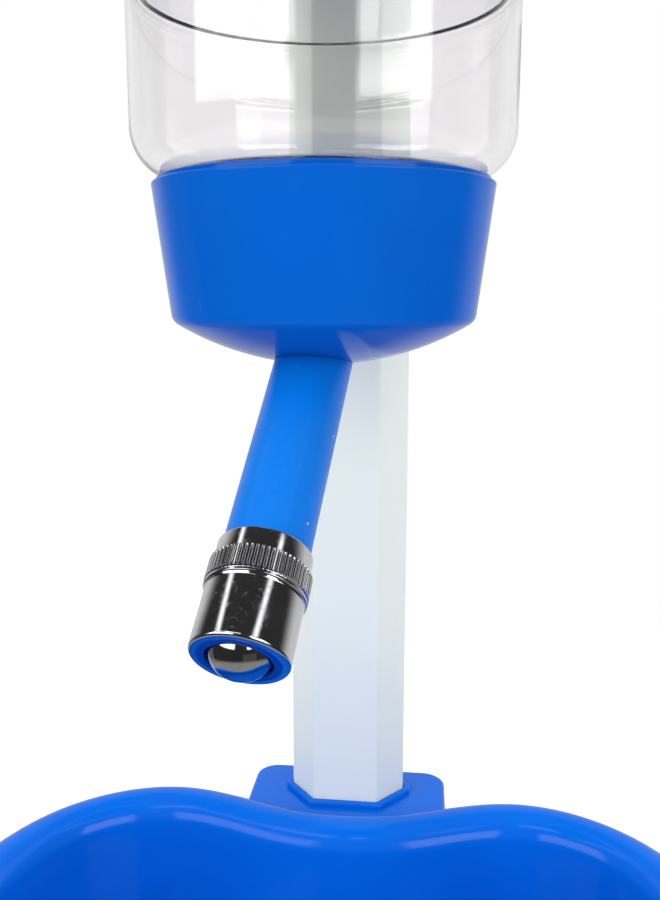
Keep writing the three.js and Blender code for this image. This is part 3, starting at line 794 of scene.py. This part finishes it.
def build_bottle():
    """The blown bottle, outside and inside in one outline, upside down with its mouth at the foot."""
    top_z = bottle_high.z
    arc_z = SHOULDER_Z + SHOULDER_R
    band_z0, band_z1 = band_low.z, band_high.z
    in_r = NECK_R - NECK_WALL
    wall_r = BOTTLE_R - WALL

    def threads(r, z, a):
        if abs(r - NECK_R) > 0.01 or not MOUTH_Z + 2 < z < SHOULDER_Z - 4:
            return r
        return r + thread_height(z, a, 204)

    neck = [(NECK_R, MOUTH_Z + 0.4 + 0.3 * k) for k in range(56)]
    outside = [(NECK_R - 0.4, MOUTH_Z)] + neck
    outside += [(NECK_R, SHOULDER_Z - 1.2), (NECK_R + 0.5, SHOULDER_Z - 0.2)]
    outside += arc(BOTTLE_R - SHOULDER_R, arc_z, SHOULDER_R, -86, 0, 20)
    outside += [(BOTTLE_R, 240), (BOTTLE_R, 250)] + groove_side(BOTTLE_R, 0.8, 1.3)
    outside += [(BOTTLE_R, z) for z in (270, 280, band_z0 - 1.2)]
    outside += [(BOTTLE_R - 0.15, band_z0 - 0.6), (BOTTLE_R - BAND_SEAT, band_z0 - 0.1)]
    outside += [(BOTTLE_R - BAND_SEAT, band_z1 + 0.1), (BOTTLE_R - 0.15, band_z1 + 0.6)]
    outside += [(BOTTLE_R, z) for z in (band_z1 + 1.2, 325, 340)]
    outside += arc(BOTTLE_R - TOP_R, top_z - TOP_R, TOP_R, 0, 90, 14)
    dish = ((28, 0.3), (24, 1.6), (18, 3.4), (10, 4.8), (0, 5.4))
    outside += [(r, top_z - fall) for r, fall in dish]
    inside = [(r, top_z - fall) for r, fall in ((0, 6.6), (10, 6.0), (18, 4.6), (24, 2.8), (28, 1.5))]
    inside += arc(BOTTLE_R - TOP_R, top_z - TOP_R, TOP_R - WALL, 90, 0, 12)
    inside += [(wall_r, z) for z in (340, 325, band_z1 + 1.5)]
    inside += [(wall_r - BAND_SEAT, band_z1 + 0.6), (wall_r - BAND_SEAT, band_z0 - 0.6)]
    inside += [(wall_r, z) for z in (band_z0 - 1.5, 280, 270)]
    inside += groove_side(wall_r, 0.6, 2.6)[::-1] + [(wall_r, 250), (wall_r, 240)]
    inside += arc(BOTTLE_R - SHOULDER_R, arc_z, SHOULDER_R - WALL, 0, -86, 16)
    inside += [(in_r + 1.2, SHOULDER_Z + 1.0), (in_r + 0.2, SHOULDER_Z), (in_r, SHOULDER_Z - 2)]
    inside += [(in_r, MOUTH_Z + 6), (in_r, MOUTH_Z + 0.3), (in_r + 0.3, MOUTH_Z)]
    bottle = lathe("bottle_fine", outside + inside, SMOOTH_ROUND, shape=threads, sharp=60)
    dress(bottle, BOTTLE_CLEAR, "bottle_clear", "bottle", "bottle")


def build_band():
    """The rubber band in the bottle's groove, with shallow ribs on its outside."""
    z0, z1 = band_low.z, band_high.z
    outer = (band_high.x - band_low.x) / 2
    inner = BOTTLE_R - 0.4
    ribs = []
    valley = outer - 0.35
    for k in range(3):
        z = z0 + 1.3 + k * 1.7
        ribs += [(valley, z - 0.5, 0.15), (outer, z - 0.25, 0.2)]
        ribs += [(outer, z + 0.9, 0.2), (valley, z + 1.1, 0.15)]
    outline = [(inner, z0), (outer - 0.5, z0, 0.3)] + ribs + [(outer - 0.5, z1, 0.3), (inner, z1)]
    band = lathe("grip_band_fine", rounded(outline, 3), ROUND)
    dress(band, BLACK_RUBBER, "black_rubber", "band", "grip_band")


# ------------------------------------------------------------------ cap and spout
CAP_EDGE_R = 32.5
CAP_EDGE_Z = 192.7
CAP_FLOOR_Z = 195.3
CAP_BEAD = 1.2
CAP_RIM_R = 36.1
DOME_DROP = 9.4
DOME_WALL = 2.0
WELL_R = 25.8  # the hollow above the dome, inside the gasket's seat
CAP_BORE_R = 30.4
TRIM_Z = CAP_EDGE_Z + 20
SPOUT_BOSS_R = 8.4


def dome_height(r, drop=0.0):
    """Height of the cap's domed underside at a radius, drop further in."""
    radius = (CAP_EDGE_R**2 + DOME_DROP**2) / (2 * DOME_DROP)
    centre = CAP_EDGE_Z - DOME_DROP + radius
    return centre - math.sqrt((radius - drop) ** 2 - r * r)


def build_cap():
    """The screw cap: a domed underside with the spout's boss, a tapered skirt and a bead at its rim."""
    rim_z = cap_high.z - CAP_BEAD
    bead_r = CAP_RIM_R - 1.1
    foot_r = CAP_EDGE_R - 2.4

    def lugs(r, z, a):
        if abs(r - CAP_BORE_R) > 0.01 or not CAP_EDGE_Z + 6 < z < rim_z - 4:
            return r
        return r - thread_height(z, a, 205.9)

    underside = [(CAP_EDGE_R * k / 24, dome_height(CAP_EDGE_R * k / 24)) for k in range(23)]
    # The first two and the last two corners only give their neighbours' roundings a direction.
    outside = rounded([
        (25, 200), (foot_r, dome_height(foot_r)), (CAP_EDGE_R, CAP_EDGE_Z, 2.8), (CAP_RIM_R, rim_z, 1.0),
        (bead_r, rim_z, 0.05), (bead_r, rim_z + 1.1, 0.4), (bead_r - 1.6, rim_z + 0.75),
        (bead_r - 2.6, rim_z - 0.2), (CAP_BORE_R, rim_z - 0.2), (25, rim_z)], 6)[2:-2]
    bore = [(CAP_BORE_R, rim_z - 0.5)] + [(CAP_BORE_R, rim_z - 2.5 - 0.3 * k) for k in range(76)]
    well = [(WELL_R * k / 10, dome_height(WELL_R * k / 10, DOME_WALL)) for k in range(10, -1, -1)]
    outline = underside + outside + bore + [(CAP_BORE_R, CAP_FLOOR_Z), (WELL_R, CAP_FLOOR_Z)] + well
    cap = lathe("cap_fine", outline, SMOOTH_ROUND, shape=lugs, sharp=40)
    boss = lathe("boss", rod(SPOUT_BOSS_R, 0.5, 12.6), FINE, SPOUT)
    trim_outline = [(r, z + 0.02) for r, z in underside] + [(CAP_EDGE_R, TRIM_Z), (0, TRIM_Z)]
    trim = lathe("trim", trim_outline, SMOOTH_ROUND)
    boss = combine(boss, "INTERSECT", trim)
    outlet = lathe("outlet", rod(6.3, -1, 30), FINE, SPOUT)
    cap = combine(cap, "UNION", boss)
    cap = combine(cap, "DIFFERENCE", outlet)
    dress(cap, CAP_BLUE, "cap_blue", "cap", "cap")


def from_face(points):
    """Turns (radius, distance back from the nozzle's face) into the spout's own heights."""
    return [(p[0], FACE - p[1], *p[2:]) for p in points]


TUBE_R = 8.0
TUBE_END_R = 7.85
TUBE_START = 6
TUBE_END = FACE - 18.2
TAIL_END = FACE - 13.9
TAIL_R = 6.2
SPIGOT_R = 6
SEAL_GROOVE_R = 4.9
VALVE_ROOM = FACE - 24.5  # where the bore widens for the spring


def build_tube():
    """The spout's tapered tube, coped to the dome, with its O-ring groove and nozzle spigot."""
    run = TUBE_END - TUBE_START
    taper = [(TUBE_R + (TUBE_END_R - TUBE_R) * k / 24, TUBE_START + run * k / 24) for k in range(25)]
    tube = lathe("spout_tube_fine", [(0, TUBE_START)] + taper + [(0, taper[-1][1])], FINE, SPOUT)
    grown = 0.06
    cutter = [(CAP_EDGE_R * k / 24, dome_height(CAP_EDGE_R * k / 24, -grown)) for k in range(25)]
    dome = lathe("dome", cutter + [(CAP_EDGE_R, TRIM_Z), (0, TRIM_Z)], SMOOTH_ROUND)
    tube = combine(tube, "DIFFERENCE", dome)
    spigot = rounded([
        (0, 1.2), (SPIGOT_R, 1.2, 0.4), (SPIGOT_R, 3.3, 0.1), (SEAL_GROOVE_R, 3.3, 0.2),
        (SEAL_GROOVE_R, 5.1, 0.2), (SPIGOT_R, 5.1, 0.1), (SPIGOT_R, 26), (0, 26)])
    tail = [
        (0, TAIL_END - 10), (TAIL_R, TAIL_END - 10), (TAIL_R, TAIL_END - 0.5), (TAIL_R - 0.4, TAIL_END),
        (0, TAIL_END)]
    tube = combine(tube, "UNION", lathe("spigot", spigot, FINE, SPOUT), lathe("tail", tail, FINE, SPOUT))
    bore = [(0, -1), (3.1, -1), (3.1, VALVE_ROOM), (4.6, VALVE_ROOM), (4.6, FACE), (0, FACE)]
    tube = combine(tube, "DIFFERENCE", lathe("bore", bore, FINE, SPOUT))
    dress(tube, SPOUT_BLUE, "spout_blue", "cap", "spout_tube")


KNURL_TEETH = 60
KNURL_DEPTH = 0.3
KNURL_R = 9.17
KNURL_BACK = 17.1  # distances from the nozzle's face to the knurled ring's two edges
KNURL_FRONT = 12.8
SLEEVE_R = 8.66
BALL_R = 6.0


def build_insert():
    """The blue insert that holds the ball, whose ring shows round it; its darker blue is painted shade."""
    outline = rounded(from_face([
        (5.88, 0, 0.15), (5.78, 0.4, 0.1), (5.78, 0.85), (6.3, 1.45), (6.3, 10.9), (2.2, 10.9, 0.3),
        (2.2, 12.1), (6.55, 12.1), (6.55, 17.4, 0.2), (7.95, 17.4, 0.3), (7.95, 1.7), (7.2, 1.6),
        (7.2, 0, 0.2)]), 4)
    insert = lathe("nozzle_insert_fine", outline, FINE, SPOUT)
    dress(insert, INSERT_SHADED_BLUE, "spout_blue", "nozzle", "nozzle_insert")


def build_sleeve():
    """The chromed sleeve: a rolled lip at the face, a step, a knurled ring and a turned-in back."""
    ring_z0, ring_z1 = FACE - KNURL_BACK, FACE - KNURL_FRONT

    def knurl(r, z, a):
        if r < KNURL_R - 0.07:
            return r
        ease = min(1, (z - ring_z0) / 0.5, (ring_z1 - z) / 0.3)
        tooth = max(0, 1 - abs(math.cos(KNURL_TEETH * a / 2)) / 0.8)
        return r - KNURL_DEPTH * tooth ** 1.3 * max(0, ease)

    ridge = [(KNURL_R, FACE - 12.9 - 4.1 * k / 12) for k in range(13)]
    low = rounded(from_face([
        (8.2, 1.55), (7.24, 1.45), (7.24, 0.1, 0.03), (SLEEVE_R, 0.1, 1.36), (SLEEVE_R, 11.5, 0.3),
        (8.85, 11.85, 0.15), (9.06, 12.05, 0.15), (9.06, 12.5, 0.15), (8.75, 12.75, 0.1)]), 10)
    high = rounded(from_face([
        (8.75, 17.15, 0.1), (8.6, 17.35, 0.1), (8.6, 20.95, 0.7), (8.0, 21.0, 0.1),
        (8.0, 20.4), (8.2, 20.2)]), 5)
    sleeve = lathe("nozzle_sleeve_fine", low + ridge + high, KNURL_TEETH * 12, SPOUT, knurl)
    dress(sleeve, CHROME, "chrome", "nozzle", "nozzle_sleeve")


def build_ball():
    """The steel ball, a fine icosphere so its poles don't show as it rolls."""
    bm = bmesh.new()
    bmesh.ops.create_icosphere(bm, subdivisions=5, radius=BALL_R)
    place = SPOUT @ Matrix.Translation((0, 0, FACE - BALL_OUT))
    ball = finish_mesh("valve_ball_fine", bm, place, 80)
    dress(ball, BALL_STEEL, "ball_steel", "ball", "valve_ball")


def build_spring():
    """The valve's round-wire spring, built as a rigid coil; the real one shortens as the ball is pushed in.
    """
    far, near = FACE - 24.2, FACE - 15.9
    coil_r, wire_r, turns = 3.5, 0.3, 5
    flat_end, climbing = 0.12, 0.76  # shares of the wire in the flat first turn and in the climb
    steps = 40 * turns
    rings = []
    for k in range(steps + 1):
        a = 2 * math.pi * turns * k / steps
        climb = (k / steps - flat_end) / climbing
        z = far + wire_r + (near - far - 2 * wire_r) * min(1, max(0, climb))
        out = Vector((math.cos(a), math.sin(a), 0))
        spin = [2 * math.pi * i / 10 for i in range(10)]
        centre = out * coil_r + Vector((0, 0, z))
        rings.append([
            centre + out * (wire_r * math.cos(t)) + Vector((0, 0, wire_r * math.sin(t))) for t in spin])
    spring = skin("valve_spring_fine", rings, SPOUT, 60)
    dress(spring, STEEL, "steel", "cap", "valve_spring")
    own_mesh(spring)


KEPT_NODES = {
    "pole_foot_plug": NATURAL,
    "pole_screw": STEEL,
    "pole_washer": STEEL,
    "clamp_nut": BRASS,
    "clamp_pad": NATURAL,
    "cap_gasket": SILICONE,
    "spout_o_ring": BLACK_RUBBER,
    "valve_washer": BLACK_RUBBER,
    "valve_pin": NATURAL,
}


def dress_kept_nodes():
    """Finishes for the small CAD pieces that stay as they are inside the stand."""
    for node, material in KEPT_NODES.items():
        obj = frame["nodes"][node]
        obj.data.materials.clear()
        obj.data.materials.append(material)


# ------------------------------------------------------------------ studio
LIGHT_AIM = (0, 0.0, 0.17)
PAPER_R = 380


def area_light(name, place, size, power):
    """A soft panel that lights the stand; the room below makes what shines in its gloss."""
    data = bpy.data.lights.new(name, "AREA")
    data.shape = "RECTANGLE"
    data.size, data.size_y = size
    data.energy = power
    light = bpy.data.objects.new(name, data)
    light.location = place
    light.rotation_euler = (Vector(LIGHT_AIM) - Vector(place)).to_track_quat("-Z", "Y").to_euler()
    light.visible_glossy = False
    bpy.context.scene.collection.objects.link(light)


class Room:
    """The surroundings as brightness by direction: azimuth from the front, and elevation."""

    def __init__(self):
        self.world = bpy.data.worlds.new("studio")
        self.world.use_nodes = True
        self.tree = self.world.node_tree
        place = self.tree.nodes.new("ShaderNodeTexCoord")
        parts = self.tree.nodes.new("ShaderNodeSeparateXYZ")
        self.tree.links.new(place.outputs["Generated"], parts.inputs["Vector"])
        self.back = parts.outputs["Y"]
        front = self.math("MULTIPLY", parts.outputs["Y"], -1)
        self.azimuth = self.math("ARCTAN2", parts.outputs["X"], front)
        self.elevation = self.math("ARCSINE", parts.outputs["Z"])

    def math(self, operation, first, second=None):
        """One step of arithmetic on outputs or numbers."""
        node = self.tree.nodes.new("ShaderNodeMath")
        node.operation = operation
        for index, value in enumerate((first, second)):
            if isinstance(value, (int, float)):
                node.inputs[index].default_value = value
            elif value is not None:
                self.tree.links.new(value, node.inputs[index])
        return node.outputs["Value"]

    def ramp(self, value, start, end, to=1.0):
        """0 before start and a value past end, smoothly."""
        node = self.tree.nodes.new("ShaderNodeMapRange")
        node.interpolation_type = "SMOOTHSTEP"
        low, high, to_low, to_high = (start, end, 0, to) if start < end else (end, start, to, 0)
        range_values = {"From Min": low, "From Max": high, "To Min": to_low, "To Max": to_high}
        for socket, number in range_values.items():
            node.inputs[socket].default_value = number
        self.tree.links.new(value, node.inputs["Value"])
        return node.outputs["Result"]

    def panel(self, azimuth, elevation, soft, strength):
        """A soft-edged bright panel between two azimuths and two elevations, in degrees."""
        edge = math.radians(soft)
        mask = None
        for value, (low, high) in ((self.azimuth, azimuth), (self.elevation, elevation)):
            low, high = math.radians(low), math.radians(high)
            for side in (self.ramp(value, low, low + edge), self.ramp(value, high, high - edge)):
                mask = side if mask is None else self.math("MULTIPLY", mask, side)
        return self.math("MULTIPLY", mask, strength)

    def mix(self, factor, first, second):
        """The first value where the factor is 0, the second where it is 1."""
        node = self.tree.nodes.new("ShaderNodeMix")
        for socket, value in (("Factor", factor), ("A", first), ("B", second)):
            if isinstance(value, float):
                node.inputs[socket].default_value = value
            else:
                self.tree.links.new(value, node.inputs[socket])
        return node.outputs["Result"]

    def total(self, parts):
        """The sum of several outputs."""
        result = parts[0]
        for part in parts[1:]:
            result = self.math("ADD", result, part)
        return result


# What shines in gloss: (azimuths, elevations, soft edge) in degrees, and the brightness.
PANELS = (
    ((-180, 180), (-95, 95), 1, 0.03),  # the dark room
    ((-180, 180), (-95, -26), 12, 0.28),  # its pale floor
    ((-70, -13), (7, 36), 3, 3.2),  # left window
    ((25, 70), (7, 36), 3, 3.9),  # right window
    ((-120, -52), (43, 57), 7, 1.5),  # lamp at the left
    ((42, 105), (45, 59), 7, 1.5),  # lamp at the right
    ((-60, 12), (50, 64), 5, 2.4),  # lamp above
    ((11, 56), (-34, -5), 3, 0.05),  # faint things low down
    ((-118, -90), (-34, 14), 3, 0.10),
)


def build_room():
    """White to the camera and soft to diffuse rays. Gloss and rays through the clear bottle see the
    panels, with a bright backdrop behind them in gloss and a pale surround through the bottle."""
    room = Room()

    def by_height(low, high, to=1.0):
        return room.ramp(room.elevation, math.radians(low), math.radians(high), to)

    ray = room.tree.nodes.new("ShaderNodeLightPath")
    backdrop = room.math("MULTIPLY", room.ramp(room.back, 0.30, 0.72), by_height(66, 44, 0.62))
    backdrop = room.math("MULTIPLY", backdrop, by_height(-44, -26))
    level = room.math("ABSOLUTE", room.elevation)
    around = room.math("ADD", room.ramp(room.back, -0.1, 0.6, 0.45), 0.5)
    around = room.math("MULTIPLY", around, room.ramp(level, math.radians(62), math.radians(40)))
    beyond = room.mix(ray.outputs["Is Transmission Ray"], backdrop, around)
    shine = room.total([beyond] + [room.panel(*panel) for panel in PANELS])
    soft = room.math("ADD", by_height(-12, 8, 0.66), 0.42)
    bounced = room.mix(ray.outputs["Is Diffuse Ray"], shine, soft)
    seen = room.mix(ray.outputs["Is Camera Ray"], bounced, 1.0)
    background = room.tree.nodes["Background"]
    background.inputs["Color"].default_value = (1, 1, 1, 1)
    room.tree.links.new(seen, background.inputs["Strength"])
    bpy.context.scene.world = room.world


def build_studio():
    """A round sheet of pale paper under the stand, the room round it, and three soft panels."""
    bm = bmesh.new()
    bmesh.ops.create_circle(bm, cap_ends=True, segments=128, radius=PAPER_R)
    floor = finish_mesh("floor", bm, Matrix.Identity(4))
    floor.data.materials.append(studio_floor("floor_paper"))
    floor.visible_glossy = False
    build_room()

    area_light("key", (-0.75, -0.75, 0.85), (0.5, 0.7), 3)
    area_light("fill", (0.9, -0.55, 0.45), (0.25, 0.8), 0.6)
    area_light("top", (0.0, -0.1, 1.3), (0.9, 0.9), 3)

    scene = bpy.context.scene
    scene.view_settings.view_transform = "Standard"
    scene.cycles.use_denoising = True
    scene.cycles.max_bounces = 24
    scene.cycles.transmission_bounces = 20
    scene.cycles.glossy_bounces = 8
    scene.cycles.transparent_max_bounces = 16


build_base()
build_feet()
build_pole()
build_carriage()
build_knob()
build_screw()
build_bottle()
build_band()
build_cap()
build_tube()
build_insert()
build_sleeve()
build_ball()
build_spring()
dress_kept_nodes()
build_studio()
